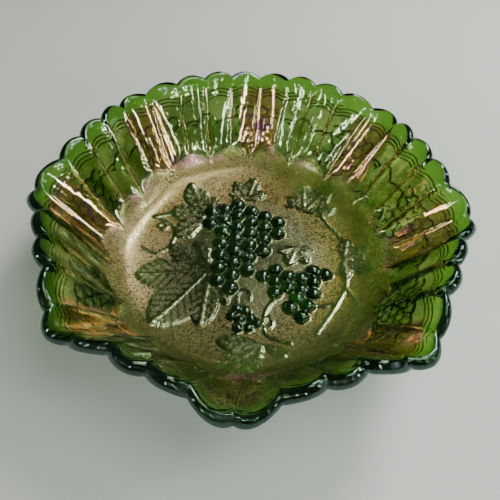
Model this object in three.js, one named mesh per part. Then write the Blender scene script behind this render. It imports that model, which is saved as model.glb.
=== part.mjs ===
// A ruffled bowl of pressed green glass: one body, pressed in a mould and crimped into eight
// ruffles while still soft. Millimetres, +Z up, origin at the centre of the flat foot ring.
// -Y is the front, where one ruffle is drawn out and down into a spout.
import * as THREE from 'three';
import { mergeVertices } from 'three/addons/utils/BufferGeometryUtils.js';

// Driving dimensions
const RIM_RADIUS = 109;        // notches between the rim scallops, before the ruffling
const FLOOR_RADIUS = 80;       // inner points of the scalloped edge around the floor
const FLOOR_HEIGHT = 9;        // inside of the floor at the centre
const COVE_RISE = 4;           // how far the floor climbs from its centre to its edge
const WALL_SLOPE = 1.8;        // rise over run of the fluted wall
const KNEE = 6;                // softness of the bend between the floor and the wall
const FLOOR_THICKNESS = 5.6;
const WALL_THICKNESS = 5;
const RIM_THICKNESS = 8;
const RIM_BAND = 9;            // width of the thick band along the edge

const FOOT_RADIUS = 50;        // outside of the foot ring
const FOOT_WIDTH = 5;
const FOOT_EDGE = 0.6;         // rounding along both edges of the foot ring
const FOOT_RECESS = 3.2;       // underside of the floor above the table
const FOOT_FLARE = 2.5;        // the ring widens upwards into the wall

const SCALLOPS = 36;
const SCALLOP_RISE = 3.6;      // crown of a scallop above its notches, along the wall
const SCALLOP_SWELL = 1.8;     // how far a scallop swells out of the outer face
const FLUTE_DEPTH = 2.1;       // hollow between two ridges of the inner wall
const PETALS = 18;             // scalloped edge of the floor, one petal to two flutes
const PETAL_REACH = 6;         // a petal's crown beyond its two points
const PETAL_STEP = 3;          // width of the step from the petal down into the flutes
const TWIST = THREE.MathUtils.degToRad(3.2);  // the ridges lean a little round the bowl

const RUFFLES = 8;
const RUFFLE_OUT = 4.7;        // the edge swings out by this much, and in by as much
const RUFFLE_DROP = 3.7;       // and is lower by this much where it swings out
const RUFFLE_PINCH = 0.33;     // second harmonic, which narrows the outward folds
const RUFFLE_START = 68;       // radius where the ruffling begins
const SPOUT_DROP = 4;          // the front fold hangs this much lower
const SPOUT_PULL = -2;         // and swings out a little less
const SPOUT_WIDTH = THREE.MathUtils.degToRad(9);

const SEGMENTS = 144;          // four to a scallop

const clamp01 = (x) => Math.min(1, Math.max(0, x));
const smooth = (x) => clamp01(x) ** 2 * (3 - 2 * clamp01(x));

// Hump of one cell of a pattern that repeats n times round the bowl: 0 at its ends, 1 midway
function hump(angle, n, power) {
  return Math.abs(Math.sin((angle * n) / 2)) ** power;
}

// Height of the inner face, before any relief
function innerHeight(r) {
  const cove = COVE_RISE * (Math.min(r, FLOOR_RADIUS) / FLOOR_RADIUS) ** 4;
  const past = r - FLOOR_RADIUS;
  return FLOOR_HEIGHT + cove + (WALL_SLOPE * (past + Math.hypot(past, KNEE))) / 2;
}

// Unit vector out of the inner face, down and away from the axis
function outward(r) {
  const step = 0.5;
  const low = Math.max(0, r - step);
  const slope = (innerHeight(r + step) - innerHeight(low)) / (r + step - low);
  const length = Math.hypot(slope, 1);
  return { r: slope / length, z: -1 / length };
}

function thickness(r) {
  const wall = smooth((r - FOOT_RADIUS) / (FLOOR_RADIUS - FOOT_RADIUS));
  const band = smooth((r - (RIM_RADIUS - RIM_BAND)) / RIM_BAND);
  const thinned = FLOOR_THICKNESS + (WALL_THICKNESS - FLOOR_THICKNESS) * wall;
  return thinned + (RIM_THICKNESS - WALL_THICKNESS) * band;
}

// The section of the bowl, from the axis along the inner face, over the rim, down the outer
// face and round the foot ring back to the axis. along: the radius that the moulded pattern
// goes by; side: 1 on the inner face, -1 on the outer face, between the two over the rim.
function section() {
  const rows = [];
  const floorRows = [0, 16, 32, 46, 57, 66, 73, 78];
  const wallRows = [82, 86, 90, 94, 98, 101.5, 104.5, 107];
  const capSteps = 6;
  for (const r of [...floorRows, ...wallRows]) {
    rows.push({ r, z: innerHeight(r), along: r, side: 1 });
  }
  const edge = outward(RIM_RADIUS);
  const half = thickness(RIM_RADIUS) / 2;
  for (let i = 0; i <= capSteps; i++) {
    const turn = (Math.PI * i) / capSteps;
    const across = half * (1 - Math.cos(turn));
    const up = half * Math.sin(turn);
    rows.push({
      r: RIM_RADIUS + edge.r * across - edge.z * up,
      z: innerHeight(RIM_RADIUS) + edge.z * across + edge.r * up,
      along: RIM_RADIUS,
      side: Math.cos(turn),
    });
  }
  const outerRows = [...wallRows, 74, 66, 58].sort((a, b) => b - a);
  for (const along of outerRows) {
    const out = outward(along);
    const t = thickness(along);
    rows.push({ r: along + out.r * t, z: innerHeight(along) + out.z * t, along, side: -1 });
  }
  const footInner = FOOT_RADIUS - FOOT_WIDTH;
  const footOutline = [
    [FOOT_RADIUS + FOOT_FLARE, FOOT_RECESS],
    [FOOT_RADIUS, FOOT_EDGE],
    [FOOT_RADIUS - FOOT_EDGE, 0],
    [footInner + FOOT_EDGE, 0],
    [footInner, FOOT_EDGE],
    [footInner - FOOT_EDGE, FOOT_RECESS],
    [0, FOOT_RECESS],
  ];
  for (const [r, z] of footOutline) {
    rows.push({ r, z, along: 0, side: -1 });
  }
  return rows.reverse();  // a lathe profile runs up the outside of the solid
}

// Flutes of the inner wall, each hollow running up from the scalloped edge of the floor
function fluteDepth(angle, along) {
  const edge = FLOOR_RADIUS + PETAL_REACH * hump(angle, PETALS, 0.6);
  return FLUTE_DEPTH * smooth((along - edge) / PETAL_STEP) * hump(angle, SCALLOPS, 0.7);
}

// Where a point of the section lies once it is pressed and ruffled
function pressedPoint(row, angle) {
  const up = clamp01((row.along - FLOOR_RADIUS) / (RIM_RADIUS - FLOOR_RADIUS));
  const mould = angle - TWIST * (1 - up);
  const out = outward(row.along);
  const scallop = hump(mould, SCALLOPS, 0.8);
  const onInside = Math.max(0, row.side);
  const onOutside = Math.max(0, -row.side);
  const overRim = row.along === RIM_RADIUS ? 1 : 0;
  const rise = SCALLOP_RISE * scallop * overRim;
  const flute = fluteDepth(mould, row.along) * onInside;
  const swell = SCALLOP_SWELL * scallop * up ** 3 * onOutside;
  const push = flute + swell;

  const ruffle = clamp01((row.along - RUFFLE_START) / (RIM_RADIUS - RUFFLE_START)) ** 2;
  const wave = Math.cos(RUFFLES * angle) + RUFFLE_PINCH * Math.cos(2 * RUFFLES * angle);
  const aside = Math.atan2(Math.sin(angle), Math.cos(angle));
  const spout = Math.exp(-((aside / SPOUT_WIDTH) ** 2));
  const r = row.r + out.r * push - out.z * rise + ruffle * (RUFFLE_OUT * wave + SPOUT_PULL * spout);
  const z = row.z + out.z * push + out.r * rise - ruffle * (RUFFLE_DROP * wave + SPOUT_DROP * spout);
  return new THREE.Vector3(r * Math.sin(angle), -r * Math.cos(angle), z);
}

function bowlGeometry() {
  const rows = section();
  const lathe = new THREE.LatheGeometry(rows.map((row) => new THREE.Vector2(row.r, row.z)), SEGMENTS);
  const position = lathe.getAttribute('position');
  for (let i = 0; i <= SEGMENTS; i++) {
    const angle = (2 * Math.PI * (i % SEGMENTS)) / SEGMENTS;
    rows.forEach((row, j) => {
      const point = row.r === 0 ? new THREE.Vector3(0, 0, row.z) : pressedPoint(row, angle);
      position.setXYZ(i * rows.length + j, point.x, point.y, point.z);
    });
  }
  lathe.deleteAttribute('uv');
  lathe.deleteAttribute('normal');
  const merged = mergeVertices(lathe, 1e-4);
  return withoutSlivers(merged);
}

// At the axis a lathe leaves triangles with two corners on one point; these are dropped
function withoutSlivers(geometry) {
  const index = geometry.getIndex().array;
  const kept = [];
  for (let i = 0; i < index.length; i += 3) {
    const [a, b, c] = [index[i], index[i + 1], index[i + 2]];
    if (a !== b && b !== c && c !== a) kept.push(a, b, c);
  }
  geometry.setIndex(kept);
  geometry.computeVertexNormals();
  return geometry;
}

const greenGlass = new THREE.MeshStandardMaterial({ color: 0x3f5a1c, roughness: 0.08, metalness: 0.2 });
const bowl = new THREE.Mesh(bowlGeometry(), greenGlass);
bowl.name = 'pressed_glass_bowl';

const object = new THREE.Group();
object.add(bowl);
export default object;
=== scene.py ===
"""A ruffled bowl of pressed green carnival glass with a grape and leaf floor.

The glass is one body: a section spun round the axis, then pressed and ruffled point by point
with the same rules as the CAD body, and given the fine moulded relief that the CAD leaves out.
"""
import math

import bmesh
import bpy
import numpy as np
from mathutils import Matrix, Vector


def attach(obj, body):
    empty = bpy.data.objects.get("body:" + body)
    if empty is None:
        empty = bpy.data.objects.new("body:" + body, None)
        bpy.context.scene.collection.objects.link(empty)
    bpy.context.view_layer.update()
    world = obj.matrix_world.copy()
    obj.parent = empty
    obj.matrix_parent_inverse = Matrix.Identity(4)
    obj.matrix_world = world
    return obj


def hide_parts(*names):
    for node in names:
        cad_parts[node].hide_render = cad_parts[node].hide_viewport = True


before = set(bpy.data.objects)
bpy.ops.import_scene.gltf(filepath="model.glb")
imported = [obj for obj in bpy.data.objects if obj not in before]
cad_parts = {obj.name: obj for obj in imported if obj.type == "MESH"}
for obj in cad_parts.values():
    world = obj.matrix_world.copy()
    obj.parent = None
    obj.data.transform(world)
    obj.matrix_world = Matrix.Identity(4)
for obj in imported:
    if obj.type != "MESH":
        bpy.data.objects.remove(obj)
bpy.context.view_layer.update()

MM = 0.001

# The pressed body, in millimetres, as in the CAD model
RIM_RADIUS = 109
FLOOR_RADIUS = 80
FLOOR_HEIGHT = 9
COVE_RISE = 4
WALL_SLOPE = 1.8
KNEE = 6
FLOOR_THICKNESS = 5.6
WALL_THICKNESS = 5
RIM_THICKNESS = 8
RIM_BAND = 9

FOOT_RADIUS = 50
FOOT_WIDTH = 5
FOOT_EDGE = 0.6
FOOT_RECESS = 3.2
FOOT_FLARE = 2.5
SHOULDER_OUT = 1               # where the foot ring meets its flare
SHOULDER_HEIGHT = 1.9

SCALLOPS = 36
SCALLOP_RISE = 3.6
SCALLOP_SWELL = 1.8
SCALLOP_POWER = 0.8
FLUTE_DEPTH = 2.1
FLUTE_POWER = 0.7
RIDGE_RISE = 0.7
RIDGE_HALF_WIDTH = 1.0
RIDGE_FINISH = 1.3             # of that half width, for the film on a ridge
RIDGE_END = 0.86               # share of the wall where the ridges begin to fade
RIDGE_FADE = 0.12
PETALS = 18
PETAL_REACH = 6
PETAL_POWER = 0.6
PETAL_STEP = 3
TWIST = math.radians(3.2)

RUFFLES = 8
RUFFLE_OUT = 4.7
RUFFLE_DROP = 3.7
RUFFLE_PINCH = 0.33
RUFFLE_START = 68
SPOUT_DROP = 4
SPOUT_PULL = -2
SPOUT_WIDTH = math.radians(9)

# The mesh: twelve columns to a scallop, rows close together where there is relief
COLUMNS = 12 * SCALLOPS
RIDGE_GATHER = 0.6             # columns close up by this share at the ridges
GATHER_START = 2               # inside the floor's edge, in radius
GATHER_RUN = 6
FLOOR_ROW = 1.0
INNER_WALL_ROWS = 25
CAP_ROWS = 10
LINED_BAND = (0.5, 6.4)        # the outer rows that hold the fine grooves, below the rim
LINED_ROWS = 34
MOULDED_START = 6.8
MOULDED_ROWS = 62
PLAIN_ROWS = 6
RECESS_ROW = 6                 # one more row under the floor, this far inside the foot ring

# The fine grooves round the outside just below the rim, in radius
LINES_DEPTH = 0.7
LINES_PITCH = 1.15
LINES_HALF_WIDTH = 0.22
LINES_SAG = 1.2
LINES_START = 0.8
LINES_END = 6.3
LINES_FADE = 0.3


# ---------------------------------------------------------------- the shape of the glass

def smooth(x):
    x = np.clip(x, 0, 1)
    return x * x * (3 - 2 * x)


def hump(angle, n, power):
    """0 at the ends and 1 in the middle of each cell of a pattern that repeats n times round."""
    return np.abs(np.sin(angle * n / 2)) ** power


def inner_height(r):
    cove = COVE_RISE * (np.minimum(r, FLOOR_RADIUS) / FLOOR_RADIUS) ** 4
    past = r - FLOOR_RADIUS
    return FLOOR_HEIGHT + cove + WALL_SLOPE * (past + np.hypot(past, KNEE)) / 2


def outward(r):
    """Unit vector out of the inner face, down and away from the axis."""
    step = 0.5
    low = np.maximum(0, r - step)
    slope = (inner_height(r + step) - inner_height(low)) / (r + step - low)
    length = np.hypot(slope, 1)
    return slope / length, -1 / length


def thickness(r):
    wall = smooth((r - FOOT_RADIUS) / (FLOOR_RADIUS - FOOT_RADIUS))
    band = smooth((r - (RIM_RADIUS - RIM_BAND)) / RIM_BAND)
    return (FLOOR_THICKNESS + (WALL_THICKNESS - FLOOR_THICKNESS) * wall
            + (RIM_THICKNESS - WALL_THICKNESS) * band)


def inner_rows():
    floor = np.arange(0, FLOOR_RADIUS - 1, FLOOR_ROW)
    wall = np.linspace(FLOOR_RADIUS - 1, RIM_RADIUS, INNER_WALL_ROWS + 1)[:-1]
    return [(r, inner_height(r), r, 1) for r in [*floor, *wall]]


def rim_rows():
    """Half a turn over the rim, from the inner face to the outer face."""
    edge_r, edge_z = outward(RIM_RADIUS)
    half = thickness(RIM_RADIUS) / 2
    rows = []
    for turn in np.linspace(0, math.pi, CAP_ROWS):
        across = half * (1 - math.cos(turn))
        up = half * math.sin(turn)
        rows.append((RIM_RADIUS + edge_r * across - edge_z * up,
                     inner_height(RIM_RADIUS) + edge_z * across + edge_r * up,
                     RIM_RADIUS, math.cos(turn)))
    return rows


def outer_rows():
    lined_top, lined_bottom = LINED_BAND
    lined = np.linspace(RIM_RADIUS - lined_top, RIM_RADIUS - lined_bottom, LINED_ROWS)
    moulded = np.linspace(RIM_RADIUS - MOULDED_START, FLOOR_RADIUS - PATTERN_START, MOULDED_ROWS)
    plain = np.linspace(FLOOR_RADIUS - 5, FOOT_RADIUS + 8, PLAIN_ROWS)
    rows = []
    for along in [*lined, *moulded, *plain]:
        out_r, out_z = outward(along)
        wall = thickness(along)
        rows.append((along + out_r * wall, inner_height(along) + out_z * wall, along, -1))
    return rows


def foot_rows():
    foot_inner = FOOT_RADIUS - FOOT_WIDTH
    soft = FOOT_EDGE * (1 - math.sqrt(0.5))
    outline = ((FOOT_RADIUS + FOOT_FLARE, FOOT_RECESS),
               (FOOT_RADIUS + SHOULDER_OUT, SHOULDER_HEIGHT),
               (FOOT_RADIUS, FOOT_EDGE),
               (FOOT_RADIUS - soft, soft),
               (FOOT_RADIUS - FOOT_EDGE, 0),
               (foot_inner + FOOT_EDGE, 0),
               (foot_inner + soft, soft),
               (foot_inner, FOOT_EDGE),
               (foot_inner - FOOT_EDGE, FOOT_RECESS),
               (foot_inner - RECESS_ROW, FOOT_RECESS),
               (0, FOOT_RECESS))
    return [(r, z, 0, -1) for r, z in outline]


def section():
    """Rows (r, z, along, side) from the axis along the inner face, over the rim and back
    under the foot. along is the radius that the moulded pattern goes by; side is 1 on the
    inner face and -1 on the outer face."""
    return [*inner_rows(), *rim_rows(), *outer_rows(), *foot_rows()]


# ------------------------------------------------------------------- the moulded relief

GRAPE_RISE = 0.8               # of a grape's radius
LEAF_RISE = 0.9
LEAF_EDGE = 0.5                # width of the step round a leaf
LEAF_DISH = 0.35               # of a leaf's rise, lower at its centre
LEAF_SWELL = 0.1               # of the blade between its side veins
NOTCH_DEPTH = 0.3              # of a lobe's length, where it meets the next lobe
NOTCH_POWER = 1.3
LOBE_END = 1.3                 # of a lobe's half-spread
LOBE_FADE = 0.3
TOOTH_PITCH = 3.2
TOOTH_DEPTH = 1.1
TOOTH_SWEEP = 0.6              # forward for each millimetre away from the rib
RIB_RISE = 0.45
RIB_HALF_WIDTH = 1.2
SIDE_VEIN_PITCH = 5.5
SIDE_VEIN_HALF_WIDTH = 0.7
SIDE_VEIN_SHARE = 0.65         # of a rib's rise
SIDE_VEIN_SWEEP = 0.9
STEM_HALF_WIDTH = 0.9
STEM_RISE = 0.65
RELIEF_FADE = 4                # the floor's relief runs out this far past the floor's edge

# Bunches as columns of touching grapes: (x, lowest y, how many)
BIG_BUNCH = {"radius": 5.0, "pitch": 9.75, "columns": (
    (-27, 26.5, 2), (-18.5, -18.5, 7), (-9.5, -23.5, 8), (0, -9, 6), (9.3, 6.5, 4), (18.3, 21.5, 2))}
SIDE_BUNCH = {"radius": 4.5, "pitch": 8.6, "columns": (
    (10, -13, 1), (18, -25, 3), (26, -20.5, 2), (27.3, -35, 1), (31.5, -28.2, 1), (34, -41, 1),
    (33.8, -21.5, 2), (37.8, -33, 1), (41.5, -24.2, 3), (49, -9.5, 1))}
SMALL_BUNCH = {"radius": 3.1, "pitch": 5.8, "columns": (
    (-7, -43, 1), (-4.3, -38, 1), (-2, -45.2, 1), (-2.8, -51, 1), (1, -39, 1), (3.2, -50.3, 1),
    (4.2, -43.8, 1), (8.2, -47, 1))}

# Leaves from the point where their ribs meet: lobes as (heading, length, half-spread), degrees
FLOOR_LEAVES = (
    {"stem": (-23.4, -10.5), "lobes": ((118, 24, 22), (150, 32, 20), (193, 46, 22), (236, 53, 22),
                                       (268, 42, 18), (298, 28, 18))},
    {"stem": (-31, 31.5), "lobes": ((74, 20, 24), (116, 31, 24), (173, 24, 26), (225, 26, 24))},
    {"stem": (12.5, -61), "lobes": ((180, 27, 18), (218, 31, 20), (250, 20, 16), (330, 16, 20))},
    {"stem": (31, 11), "lobes": ((200, 13, 24), (250, 16, 26), (300, 15, 24), (350, 11, 26))},
    {"stem": (61, 2), "lobes": ((80, 17, 24), (28, 18, 26), (330, 20, 24), (275, 15, 26))},
    {"stem": (36, 42), "lobes": ((5, 22, 22), (48, 27, 22), (92, 24, 22), (132, 17, 20))},
    {"stem": (-4, 50), "lobes": ((30, 15, 24), (76, 20, 24), (122, 18, 24), (160, 14, 20))},
)

# Stems and tendrils, each a smooth line through a few points
FLOOR_STEMS = (
    ((19, -28.6), (14, -36), (11.8, -44), (13.5, -53.6), (20, -57.5), (28, -59.3)),
    ((12.5, -44), (15.5, -42), (17.2, -46), (15, -49.5), (12.6, -48)),
    ((52, 31), (60, 20), (63, 6), (61.8, -15.8), (56, -30), (49, -42), (42.3, -52.2)),
    ((61, -18), (66, -30), (67, -42)),
    ((56, -30), (47, -33), (40.5, -32)),
    ((24, 46), (36, 46), (46, 40), (52, 31)),
    ((-4.3, -32), (-4.6, -27.5), (-1, -24.6), (3.2, -26.6), (3, -30.5)),
    ((-49, 34), (-56, 31), (-65, 27)),
    ((-65, 27), (-54, 24), (-49.5, 15), (-52, 4), (-60, -1.5), (-68, 1.5)),
    ((-58.2, 23.3), (-61, 20.5), (-58.2, 17.7), (-55.4, 20.5), (-58.2, 23.3)),
)

# The outside of the wall, in millimetres round the bowl and up the slope
WALL_MOTIFS = 9
PATTERN_START = 3              # inside the floor's edge, in radius
WALL_REACH = 96                # radius that millimetres round the bowl are taken at
WALL_GRAPE = 3.8
WALL_BUNCH_ROWS = (4, 5, 4, 3, 2, 1)
WALL_BUNCH_TOP = 46
WALL_ROW_PITCH = 0.87          # of a grape's width
WALL_RISE = 0.75               # of a grape's radius
WALL_LEAF = {"stem": (0, 22), "lobes": ((90, 25, 26), (140, 29, 24), (190, 23, 24), (40, 29, 24),
                                        (350, 23, 24))}
WALL_LEAF_RISE = 1.9
VINE_HEIGHT = 26
VINE_SWING = 16
VINE_PHASE = 0.6
VINE_HALF_WIDTH = 1.4
VINE_RISE = 1.8


def turn_between(a, b):
    return (a - b + math.pi) % (2 * math.pi) - math.pi


def bunch_centres(bunch):
    return [(x, y + i * bunch["pitch"]) for x, y, count in bunch["columns"] for i in range(count)]


def grapes(x, y, centres, radius, rise):
    height = np.zeros_like(x)
    for cx, cy in centres:
        inside = np.clip(1 - ((x - cx) ** 2 + (y - cy) ** 2) / radius ** 2, 0, 1)
        height = np.maximum(height, rise * radius * np.sqrt(inside))
    return height


def leaf(x, y, stem, lobes, rise):
    """A lobed, toothed leaf with a rib to each lobe's tip and side veins swept forward."""
    reach = np.hypot(x - stem[0], y - stem[1])
    heading = np.arctan2(y - stem[1], x - stem[0])
    edge = np.zeros_like(x)
    nearest = np.full_like(x, 9.0)
    along = np.zeros_like(x)
    across = np.full_like(x, 9.0)
    for degrees, length, spread in lobes:
        off = turn_between(heading, math.radians(degrees))
        share = np.abs(off) / math.radians(spread)
        lobe = length * (1 - NOTCH_DEPTH * share ** NOTCH_POWER)
        lobe = lobe * np.clip((LOBE_END - share) / LOBE_FADE, 0, 1)
        edge = np.maximum(edge, lobe)
        closer = share < nearest
        nearest = np.where(closer, share, nearest)
        along = np.where(closer, reach * np.cos(off), along)
        across = np.where(closer, np.abs(reach * np.sin(off)), across)
    tooth = TOOTH_DEPTH * (((along - TOOTH_SWEEP * across) / TOOTH_PITCH) % 1)
    inside = smooth((edge - tooth - reach) / LEAF_EDGE + 0.5)
    rib = np.exp(-(across / RIB_HALF_WIDTH) ** 2)
    phase = ((along - SIDE_VEIN_SWEEP * across) / SIDE_VEIN_PITCH) % 1 - 0.5
    side_vein = np.exp(-(phase * SIDE_VEIN_PITCH / SIDE_VEIN_HALF_WIDTH) ** 2)
    swell = LEAF_SWELL * np.cos(2 * math.pi * phase) * (1 - rib)
    dish = LEAF_DISH * smooth(reach / (edge + 0.01))
    veins = RIB_RISE * np.maximum(rib, SIDE_VEIN_SHARE * side_vein)
    return inside * (rise * (1 - LEAF_DISH + dish) - swell + veins)


def stem_line(points, steps=8):
    """A Catmull-Rom curve through the points."""
    p = np.array([points[0], *points, points[-1]], float)
    t = np.linspace(0, 1, steps, endpoint=False)[:, None]
    spans = []
    for a, b, c, d in zip(p, p[1:], p[2:], p[3:]):
        spans.append(0.5 * (2 * b + (c - a) * t + (2 * a - 5 * b + 4 * c - d) * t ** 2
                            + (3 * b - a - 3 * c + d) * t ** 3))
    return np.concatenate([*spans, p[-1:]])


def stem(x, y, points):
    line = stem_line(points)
    nearest = np.full_like(x, 99.0)
    for a, b in zip(line, line[1:]):
        run = b - a
        share = np.clip(((x - a[0]) * run[0] + (y - a[1]) * run[1]) / (run @ run), 0, 1)
        nearest = np.minimum(nearest, np.hypot(x - a[0] - share * run[0], y - a[1] - share * run[1]))
    return STEM_RISE * np.sqrt(np.clip(1 - (nearest / STEM_HALF_WIDTH) ** 2, 0, 1))


def floor_relief(x, y):
    """Rise of the grapes, and rise of all the relief, above the floor."""
    fruit = np.zeros_like(x)
    for bunch in (BIG_BUNCH, SIDE_BUNCH, SMALL_BUNCH):
        fruit = np.maximum(fruit, grapes(x, y, bunch_centres(bunch), bunch["radius"], GRAPE_RISE))
    greenery = np.zeros_like(x)
    for one in FLOOR_LEAVES:
        greenery = np.maximum(greenery, leaf(x, y, one["stem"], one["lobes"], LEAF_RISE))
    for points in FLOOR_STEMS:
        greenery = np.maximum(greenery, stem(x, y, points))
    return fruit, np.maximum(fruit, greenery)


def floor_steepness(x, y, relief):
    """How far the relief climbs for each millimetre across."""
    step = 0.4
    return np.hypot(floor_relief(x + step, y)[1] - relief, floor_relief(x, y + step)[1] - relief) / step


def wall_bunch_centres():
    pitch = 2 * WALL_GRAPE
    centres = []
    for row, count in enumerate(WALL_BUNCH_ROWS):
        for i in range(count):
            x = (i - (count - 1) / 2) * pitch
            centres.append((x, WALL_BUNCH_TOP - row * pitch * WALL_ROW_PITCH))
    return centres


def wall_relief(angle, along):
    """Bunches and leaves by turns on the outside of the wall, a wavy vine across them, and
    fine grooves under the rim."""
    cell = 2 * math.pi / WALL_MOTIFS
    round_bunch = turn_between(angle % cell * WALL_MOTIFS, math.pi) / WALL_MOTIFS * WALL_REACH
    round_leaf = turn_between((angle + cell / 2) % cell * WALL_MOTIFS, math.pi) / WALL_MOTIFS * WALL_REACH
    up = (along - FLOOR_RADIUS + PATTERN_START) * math.hypot(1, WALL_SLOPE)
    relief = grapes(round_bunch, up, wall_bunch_centres(), WALL_GRAPE, WALL_RISE)
    relief = np.maximum(relief, leaf(round_leaf, up, WALL_LEAF["stem"], WALL_LEAF["lobes"], WALL_LEAF_RISE))
    swing = WALL_MOTIFS * angle + VINE_PHASE
    off_vine = up - VINE_HEIGHT - VINE_SWING * np.sin(swing)
    steep = np.hypot(1, VINE_SWING * WALL_MOTIFS / WALL_REACH * np.cos(swing))
    vine = np.clip(1 - (off_vine / steep / VINE_HALF_WIDTH) ** 2, 0, 1)
    relief = np.maximum(relief, VINE_RISE * np.sqrt(vine))
    below_rim = RIM_RADIUS - along
    curved = below_rim + LINES_SAG * hump(angle, SCALLOPS, 1)
    off_line = ((curved / LINES_PITCH) % 1 - 0.5) * LINES_PITCH
    groove = np.exp(-(off_line / LINES_HALF_WIDTH) ** 2)
    groove = groove * smooth(below_rim - LINES_START) * smooth((LINES_END - curved) / LINES_FADE)
    return relief * smooth(curved - LINES_END) - LINES_DEPTH * groove


def wall_steepness(angle, along, relief):
    """How far the relief climbs for each millimetre across or up the wall."""
    round_step = 0.4
    up_step = 0.2
    across = wall_relief(angle + round_step / WALL_REACH, along) - relief
    up = wall_relief(angle, along + up_step) - relief
    return np.hypot(across / round_step, up / (up_step * math.hypot(1, WALL_SLOPE)))


def plateau(angle, along):
    """1 on the floor and its petals, falling to 0 where the flutes begin."""
    edge = FLOOR_RADIUS + PETAL_REACH * hump(angle, PETALS, PETAL_POWER)
    return 1 - smooth((along - edge) / PETAL_STEP)


def mould_angle(even, along, side):
    """The angle in the mould, with the mesh's columns gathered at the inner ridges."""
    gathered = RIDGE_GATHER * smooth((along - FLOOR_RADIUS + GATHER_START) / GATHER_RUN)
    gathered = gathered * np.maximum(0, side)
    return even - gathered * np.sin(SCALLOPS * even) / SCALLOPS


def wall_push(mould, side, up, flat, crest):
    """Push away from the axis: flutes and ridges inside, scallops outside."""
    inside = np.maximum(0, side)
    flutes = FLUTE_DEPTH * (1 - flat) * hump(mould, SCALLOPS, FLUTE_POWER) * inside
    scallops = SCALLOP_SWELL * hump(mould, SCALLOPS, SCALLOP_POWER) * up ** 3 * np.maximum(0, -side)
    ridge = np.exp(-crest ** 2) * (1 - flat) * (1 - smooth((up - RIDGE_END) / RIDGE_FADE)) * inside
    return flutes + scallops - RIDGE_RISE * ridge


def outer_pattern(mould, along, side):
    """Relief and its steepness on the outside of the wall, and 0 elsewhere. The grooves count as steep too,
    for the painted shade on them.
    """
    on_wall = (side < -0.99) & (along > FOOT_RADIUS + FOOT_FLARE)
    relief, steep = np.zeros((2, len(along)))
    wall = wall_relief(mould[on_wall], along[on_wall])
    climb = wall_steepness(mould[on_wall], along[on_wall], wall)
    relief[on_wall] = wall
    # The grooves are marked as steep, so the shader paints them near black as painted shade.
    steep[on_wall] = np.maximum(climb, -2 * wall / LINES_DEPTH)
    return relief, steep


def inner_pattern(angle, r, along, side):
    """Rise of the grapes, rise of all the relief and its steepness on the floor, 0 elsewhere."""
    on_floor = (side > 0.99) & (along < FLOOR_RADIUS + PETAL_REACH)
    x = r[on_floor] * np.sin(angle[on_floor])
    y = -r[on_floor] * np.cos(angle[on_floor])
    fruit, relief, steep = np.zeros((3, len(r)))
    fruit[on_floor], relief[on_floor] = floor_relief(x, y)
    steep[on_floor] = floor_steepness(x, y, relief[on_floor])
    return fruit, relief * smooth((FLOOR_RADIUS + RELIEF_FADE - r) / RELIEF_FADE), steep


def pressed(co, along, side):
    """Where the mould and the ruffling put the spun points, and what the finish goes by."""
    r = np.hypot(co[:, 0], co[:, 1])
    z = co[:, 2]
    up = np.clip((along - FLOOR_RADIUS) / (RIM_RADIUS - FLOOR_RADIUS), 0, 1)
    mould = mould_angle(np.arctan2(co[:, 0], -co[:, 1]), along, side)
    angle = mould + TWIST * (1 - up)
    flat = plateau(mould, along)
    crest = turn_between(mould * SCALLOPS, 0) / SCALLOPS * along / RIDGE_HALF_WIDTH
    outer_relief, outer_steep = outer_pattern(mould, along, side)
    fruit, relief, inner_steep = inner_pattern(angle, r, along, side)
    push = wall_push(mould, side, up, flat, crest) + outer_relief - relief
    rise = SCALLOP_RISE * hump(mould, SCALLOPS, SCALLOP_POWER) * (along >= RIM_RADIUS - 1e-3)
    out_r, out_z = outward(along)

    ruffle = np.clip((along - RUFFLE_START) / (RIM_RADIUS - RUFFLE_START), 0, 1) ** 2
    wave = np.cos(RUFFLES * angle) + RUFFLE_PINCH * np.cos(2 * RUFFLES * angle)
    spout = np.exp(-(angle / SPOUT_WIDTH) ** 2)
    new_r = r + out_r * push - out_z * rise + ruffle * (RUFFLE_OUT * wave + SPOUT_PULL * spout)
    new_z = z + out_z * push + out_r * rise - ruffle * (RUFFLE_DROP * wave + SPOUT_DROP * spout)
    points = np.stack([new_r * np.sin(angle), -new_r * np.cos(angle), new_z], 1)
    on_axis = r < 1e-3
    points[on_axis] = co[on_axis]
    finish = {
        "fruit": fruit / (GRAPE_RISE * BIG_BUNCH["radius"]),
        "relief": np.clip(relief / LEAF_RISE, 0, 1),
        "steep": np.clip(outer_steep + inner_steep, 0, 2),
        "plateau": flat,
        "ridge": np.exp(-(crest / RIDGE_FINISH) ** 2),
        "fold": wave / (1 + RUFFLE_PINCH),
        "up": up,
    }
    return points, finish


def spun_mesh(name):
    """The section spun round the axis, with along and side kept at each vertex."""
    bm = bmesh.new()
    along_layer = bm.verts.layers.float.new("along")
    side_layer = bm.verts.layers.float.new("side")
    chain = []
    for r, z, along, side in section():
        vert = bm.verts.new((0, -r, z))
        vert[along_layer] = along
        vert[side_layer] = side
        chain.append(vert)
    edges = [bm.edges.new(pair) for pair in zip(chain, chain[1:])]
    bmesh.ops.spin(bm, geom=chain + edges, cent=(0, 0, 0), axis=(0, 0, 1), angle=2 * math.pi,
                   steps=COLUMNS, use_merge=True)
    bmesh.ops.remove_doubles(bm, verts=bm.verts, dist=0.01)
    bmesh.ops.recalc_face_normals(bm, faces=bm.faces)
    mesh = bpy.data.meshes.new(name)
    bm.to_mesh(mesh)
    bm.free()
    return mesh


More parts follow.
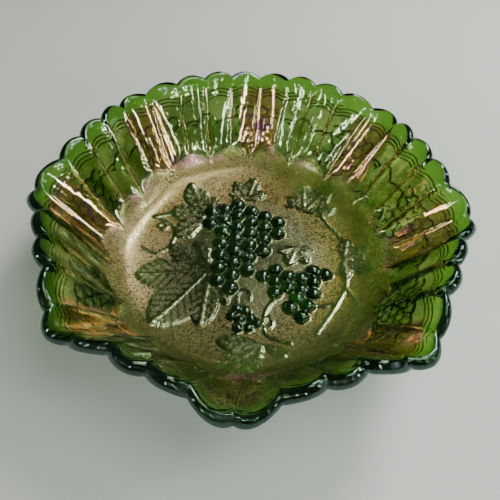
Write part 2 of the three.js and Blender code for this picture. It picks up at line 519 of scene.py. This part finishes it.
def glass_bowl():
    mesh = spun_mesh("ruffled_bowl")
    count = len(mesh.vertices)
    co = np.empty(count * 3)
    mesh.vertices.foreach_get("co", co)
    along = np.empty(count)
    side = np.empty(count)
    mesh.attributes["along"].data.foreach_get("value", along)
    mesh.attributes["side"].data.foreach_get("value", side)
    points, finish = pressed(co.reshape(-1, 3), along, side)
    mesh.vertices.foreach_set("co", (points * MM).ravel())
    for name, values in finish.items():
        attribute = mesh.attributes.new(name, "FLOAT", "POINT")
        attribute.data.foreach_set("value", values.astype(np.float32))
    mesh.polygons.foreach_set("use_smooth", np.ones(len(mesh.polygons), bool))
    mesh.update()
    bowl = bpy.data.objects.new("ruffled_bowl", mesh)
    bpy.context.scene.collection.objects.link(bowl)
    return bowl


# ------------------------------------------------------------------------- shader maths

class Value:
    """A number socket. An expression on values adds the Math nodes that work it out."""

    def __init__(self, tree, socket):
        self.tree = tree
        self.socket = socket

    def math(self, operation, *others):
        sockets = {i + 1: other for i, other in enumerate(others)}
        return self.tree.node("ShaderNodeMath", {"operation": operation}, {0: self, **sockets})

    def __add__(self, other):
        return self.math("ADD", other)

    def __sub__(self, other):
        return self.math("SUBTRACT", other)

    def __mul__(self, other):
        return self.math("MULTIPLY", other)

    def __rsub__(self, other):
        return self.tree.node("ShaderNodeMath", {"operation": "SUBTRACT"}, {0: other, 1: self})

    __radd__ = __add__
    __rmul__ = __mul__

    def step(self, low, high):
        """0 at low, 1 at high and smooth between. low may be the larger of the two."""
        return self.tree.node("ShaderNodeMapRange", {"interpolation_type": "SMOOTHSTEP"},
                              {"Value": self, "From Min": low, "From Max": high})


class Tree:
    """The nodes of one material."""

    def __init__(self, name):
        self.material = bpy.data.materials.new(name)
        self.material.use_nodes = True
        self.nodes = self.material.node_tree.nodes
        self.links = self.material.node_tree.links
        self.nodes.clear()

    def node(self, kind, settings, sockets, output=0):
        """Adds a node, sets its settings, then its sockets, and returns one output."""
        node = self.nodes.new(kind)
        for key, value in settings.items():
            setattr(node, key, value)
        for key, value in sockets.items():
            if isinstance(value, Value):
                self.links.new(value.socket, node.inputs[key])
            else:
                node.inputs[key].default_value = value
        return Value(self, node.outputs[output]) if node.outputs else None

    def attribute(self, name):
        return self.node("ShaderNodeAttribute", {"attribute_name": name}, {}, "Fac")

    def noise(self, at, scale, detail=3.0, roughness=0.55):
        return self.node("ShaderNodeTexNoise", {}, {"Vector": at, "Scale": scale, "Detail": detail,
                                                    "Roughness": roughness}, "Fac")

    def grains(self, at, scale):
        """A value at random for each of many small cells."""
        colour = self.node("ShaderNodeTexVoronoi", {}, {"Vector": at, "Scale": scale}, "Color")
        return self.node("ShaderNodeSeparateColor", {}, {0: colour}, "Red")

    def mix(self, share, a, b):
        """A colour between a and b."""
        colours = {6: a if isinstance(a, Value) else (*a, 1), 7: b if isinstance(b, Value) else (*b, 1)}
        return self.node("ShaderNodeMix", {"data_type": "RGBA"}, {0: share, **colours}, 2)

    def output(self, **sockets):
        self.node("ShaderNodeOutputMaterial", {}, sockets)
        return self.material


# --------------------------------------------------------------------------- the finishes

GLASS_IOR = 1.52
GLASS_TINT = (0.52, 0.76, 0.28)
GLASS_DENSITY = 450            # per metre
FILM_NM = 255
FILM_IOR = 1.6

# Sizes of the patterns in the finish, as repeats to a metre
PATCHES = 36
CLOUDS = 14
GRAINS = 1900
STREAKS = 270
RIPPLES = 230
MIDDLE = (0.058, 0.034)        # radius where the plain middle of the floor begins, and is whole

REFLECTION_GREEN = (0.80, 1.0, 0.82)
RIM_GREEN = (0.58, 0.72, 0.36)
WALL_GREEN = (0.74, 0.78, 0.36)
SHADE_GREEN = (0.30, 0.36, 0.12)
FRUIT_GREEN = (0.25, 0.52, 0.3)
# Painted shade: near black on the steep outside relief and in the grooves, standing in for the dark lines
# that refraction shows through the glass.
PAINTED_SHADE_GREEN = (0.03, 0.06, 0.01)
CREAM_FILM_AND_HIGHLIGHT = (0.56, 0.41, 0.20)
GOLD = (0.32, 0.21, 0.07)
BROWN = (0.20, 0.165, 0.055)
ROSE = (0.70, 0.24, 0.36)
LIME = (0.52, 0.62, 0.16)
COPPER = (0.95, 0.42, 0.12)
VIOLET = (0.42, 0.11, 0.24)
OLIVE = (0.28, 0.24, 0.035)
TEAL = (0.20, 0.30, 0.18)
TAUPE = (0.20, 0.13, 0.06)
LEAF_BROWN = (0.20, 0.18, 0.09)


def film_colour(tree, at, x, y, radius, patches, streaks):
    """Taupe in the middle of the floor, cream and gold round it, the cream kept to the left as a painted
    reflection of the soft box and olive to the right, rose and lime at its petals, copper and violet on the
    folds that swing out, olive between them, and cream on the ridges, partly a painted highlight."""
    soft = tree.noise(at, CLOUDS, 2)
    floor = tree.mix(soft.step(0.35, 0.65), CREAM_FILM_AND_HIGHLIGHT, GOLD)
    # Painted reflection: the cream and gold stay on the left of the floor, as if lit by the soft box's
    # reflection, and the right turns olive.
    floor = tree.mix(x.step(-0.01, 0.07), floor, OLIVE)
    floor = tree.mix(y.step(-0.03, -0.055), floor, BROWN)
    edge = tree.attribute("up").step(0, 0.25)
    floor = tree.mix(edge * patches.step(0.5, 0.62), floor, ROSE)
    floor = tree.mix(edge * patches.step(0.5, 0.38), floor, LIME)
    floor = tree.mix(radius.step(*MIDDLE), floor, TAUPE)
    floor = tree.mix(tree.attribute("relief") * 0.5, floor, LEAF_BROWN)
    folds = tree.mix(streaks.step(0.5, 0.62), COPPER, ROSE)
    folds = tree.mix(patches.step(0.56, 0.68), folds, VIOLET)
    between = tree.mix(soft.step(0.4, 0.6), OLIVE, TEAL)
    wall = tree.mix(tree.attribute("fold").step(-0.1, 0.5), between, folds)
    # Partly painted highlight: the film on the ridges turns cream, lighter as if their edges were lit,
    # besides the film's own colour.
    wall = tree.mix(tree.attribute("ridge").step(0.2, 0.7), wall, CREAM_FILM_AND_HIGHLIGHT)
    return tree.mix(tree.attribute("plateau"), wall, floor)


def film_cover(tree, x, radius, patches, grain):
    """How much of the surface the film covers: a dense speckle round a plain middle on the
    floor, and on the wall more on the ridges and the outward folds, none along the rim."""
    floor = 0.62 - 0.12 * x.step(-0.01, 0.06) + 0.4 * (patches - 0.5)
    speckle = (grain - (1 - floor)).step(-0.1, 0.1)
    plain = radius.step(*MIDDLE).math("MAXIMUM", tree.attribute("relief") * 0.8)
    speckle = (0.35 + 0.65 * speckle) * (1 - plain) + 0.55 * plain
    wall = 0.36 + 0.45 * tree.attribute("fold").step(0, 0.5) + 0.4 * tree.attribute("ridge").step(0.2, 0.7)
    wall = wall * (0.4 + 1.2 * patches)
    plateau = tree.attribute("plateau")
    cover = speckle * plateau + wall * (1 - plateau)
    cover = cover * (1 - 0.8 * tree.attribute("steep").step(0.1, 0.4))
    cover = cover * (1 - 0.7 * tree.attribute("fruit").step(0.05, 0.4))
    return cover * tree.attribute("side").step(0.2, 0.9) * (1 - tree.attribute("up").step(0.9, 1))


def carnival_glass():
    tree = Tree("green_carnival_glass")
    at = tree.node("ShaderNodeTexCoord", {}, {}, "Object")
    x = tree.node("ShaderNodeSeparateXYZ", {}, {0: at}, "X")
    y = tree.node("ShaderNodeSeparateXYZ", {}, {0: at}, "Y")
    patches = tree.noise(at, PATCHES, 4)
    grain = tree.grains(at, GRAINS)
    radius = tree.node("ShaderNodeVectorMath", {"operation": "LENGTH"}, {0: at}, "Value")
    film = film_cover(tree, x, radius, patches, grain)
    fruit = tree.attribute("fruit").step(0.05, 0.4)
    plateau = tree.attribute("plateau")

    inner = tree.attribute("side").step(0.2, 0.9)
    bare = tree.mix(tree.attribute("up").step(0.93, 1) * (1 - inner), WALL_GREEN, RIM_GREEN)
    bare = tree.mix(patches.step(0.56, 0.44) * (1 - tree.attribute("up").step(0.8, 0.95)), bare, SHADE_GREEN)
    bare = tree.mix(fruit, bare, FRUIT_GREEN)
    # Painted shade: the steep outside relief and the grooves go near black.
    bare = tree.mix(tree.attribute("steep").step(0.5, 1.3) * (1 - inner), bare, PAINTED_SHADE_GREEN)
    drawn = tree.node("ShaderNodeVectorMath", {"operation": "MULTIPLY"}, {0: at, 1: (1, 1, 0.3)})
    streaks = tree.noise(drawn, STREAKS, 2)
    colour = tree.mix(film, bare, film_colour(tree, at, x, y, radius, patches, streaks))
    below_rim = 1 - tree.attribute("up").step(0.85, 1)
    ripples = tree.noise(at, RIPPLES, 2)
    wavy = inner * (1 - plateau) * streaks + 2 * (1 - inner) * below_rim * ripples
    height = 0.2 * grain * plateau * film + 1.2 * wavy
    bump = tree.node("ShaderNodeBump", {}, {"Strength": 0.8, "Distance": 0.0003, "Height": height})
    surface = tree.node("ShaderNodeBsdfPrincipled", {}, {
        "Base Color": colour,
        "Metallic": film * 0.8,
        "Roughness": 0.03 + film * (0.06 + 0.34 * plateau),
        "IOR": GLASS_IOR,
        "Specular Tint": (*REFLECTION_GREEN, 1),
        "Transmission Weight": 1.0,
        "Coat Weight": film * (0.5 - 0.4 * plateau),
        "Coat Roughness": 0.05,
        "Thin Film Thickness": FILM_NM,
        "Thin Film IOR": FILM_IOR,
        "Normal": bump})
    depth = tree.node("ShaderNodeVolumeAbsorption", {}, {"Color": (*GLASS_TINT, 1), "Density": GLASS_DENSITY})
    return tree.output(Surface=surface, Volume=depth)


def studio_floor_finish():
    tree = Tree("studio_floor")
    at = tree.node("ShaderNodeTexCoord", {}, {}, "Object")
    colour = tree.mix(tree.noise(at, 3, 2), (0.60, 0.62, 0.56), (0.66, 0.68, 0.62))
    surface = tree.node("ShaderNodeBsdfPrincipled", {}, {"Base Color": colour, "Roughness": 0.7})
    return tree.output(Surface=surface)


# ------------------------------------------------------------------ camera, floor, lights

CAMERA_LIFT = math.radians(51.3)
CAMERA_TURN = math.radians(-1.5)
CAMERA_ROLL = math.radians(-2.6)
CAMERA_DISTANCE = 0.3026
CAMERA_TARGET = Vector((0, 0, 0.032))
CAMERA_LENS = 35.86
CAMERA_SHIFT = (0.0017, -0.0272)
LIGHT_TARGET = Vector((0, 0, 0.03))
COOL_WHITE = (0.9, 0.97, 1)
FLOOR_GAP = 0.0001             # keeps the floor from sharing a plane with the foot ring


def place_camera():
    unturn = Matrix.Rotation(-CAMERA_TURN, 3, "Z")
    right = unturn @ Vector((1, 0, 0))
    up = unturn @ Vector((0, math.sin(CAMERA_LIFT), math.cos(CAMERA_LIFT)))
    back = right.cross(up)
    rolled_right = right * math.cos(CAMERA_ROLL) - up * math.sin(CAMERA_ROLL)
    rolled_up = right * math.sin(CAMERA_ROLL) + up * math.cos(CAMERA_ROLL)
    data = bpy.data.cameras.new("camera")
    data.lens = CAMERA_LENS
    data.shift_x, data.shift_y = CAMERA_SHIFT
    data.clip_start = 0.01
    camera = bpy.data.objects.new("camera", data)
    turned = Matrix((rolled_right, rolled_up, back)).transposed().to_4x4()
    camera.matrix_world = Matrix.Translation(CAMERA_TARGET + back * CAMERA_DISTANCE) @ turned
    bpy.context.scene.collection.objects.link(camera)
    bpy.context.scene.camera = camera


def studio_floor():
    bm = bmesh.new()
    bmesh.ops.create_grid(bm, x_segments=1, y_segments=1, size=3)
    mesh = bpy.data.meshes.new("studio_floor")
    bm.to_mesh(mesh)
    bm.free()
    floor = bpy.data.objects.new("studio_floor", mesh)
    floor.location.z = -FLOOR_GAP
    bpy.context.scene.collection.objects.link(floor)
    mesh.materials.append(studio_floor_finish())


def soft_light(name, place, size, power, colour=(1, 1, 1)):
    """A rectangular soft box that faces the bowl."""
    data = bpy.data.lights.new(name, "AREA")
    data.shape = "RECTANGLE"
    data.size, data.size_y = size
    data.energy = power
    data.color = colour
    light = bpy.data.objects.new(name, data)
    light.location = place
    towards = LIGHT_TARGET - Vector(place)
    light.rotation_euler = towards.to_track_quat("-Z", "Y").to_euler()
    bpy.context.scene.collection.objects.link(light)


def studio_world(colour, strength):
    world = bpy.data.worlds.new("studio")
    world.use_nodes = True
    background = world.node_tree.nodes["Background"]
    background.inputs["Color"].default_value = (*colour, 1)
    background.inputs["Strength"].default_value = strength
    bpy.context.scene.world = world


place_camera()
bowl = glass_bowl()
bowl.data.materials.append(carnival_glass())
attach(bowl, "root")
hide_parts("pressed_glass_bowl")

studio_floor()
studio_world((0.75, 0.95, 0.65), 0.12)
soft_light("back_right", (0.40, 0.47, 0.78), (0.26, 0.42), 7)
soft_light("overhead", (0.5, -0.1, 1.2), (0.6, 0.6), 5)
soft_light("high_right", (0.95, 0.2, 0.6), (0.06, 0.3), 2.2, COOL_WHITE)
soft_light("right", (1.0, -0.4, 0.42), (0.02, 0.4), 3.4, COOL_WHITE)
soft_light("left", (-1.0, -0.35, 0.4), (0.02, 0.3), 1.3)
soft_light("front", (-0.25, -1.0, 0.5), (0.02, 0.4), 2.3, COOL_WHITE)
soft_light("front_right", (0.3, -1.0, 0.48), (0.015, 0.4), 1.8, COOL_WHITE)
soft_light("right_front", (0.8, -0.8, 0.48), (0.015, 0.36), 2.0, COOL_WHITE)
soft_light("left_front", (-0.8, -0.8, 0.42), (0.015, 0.3), 1.2)
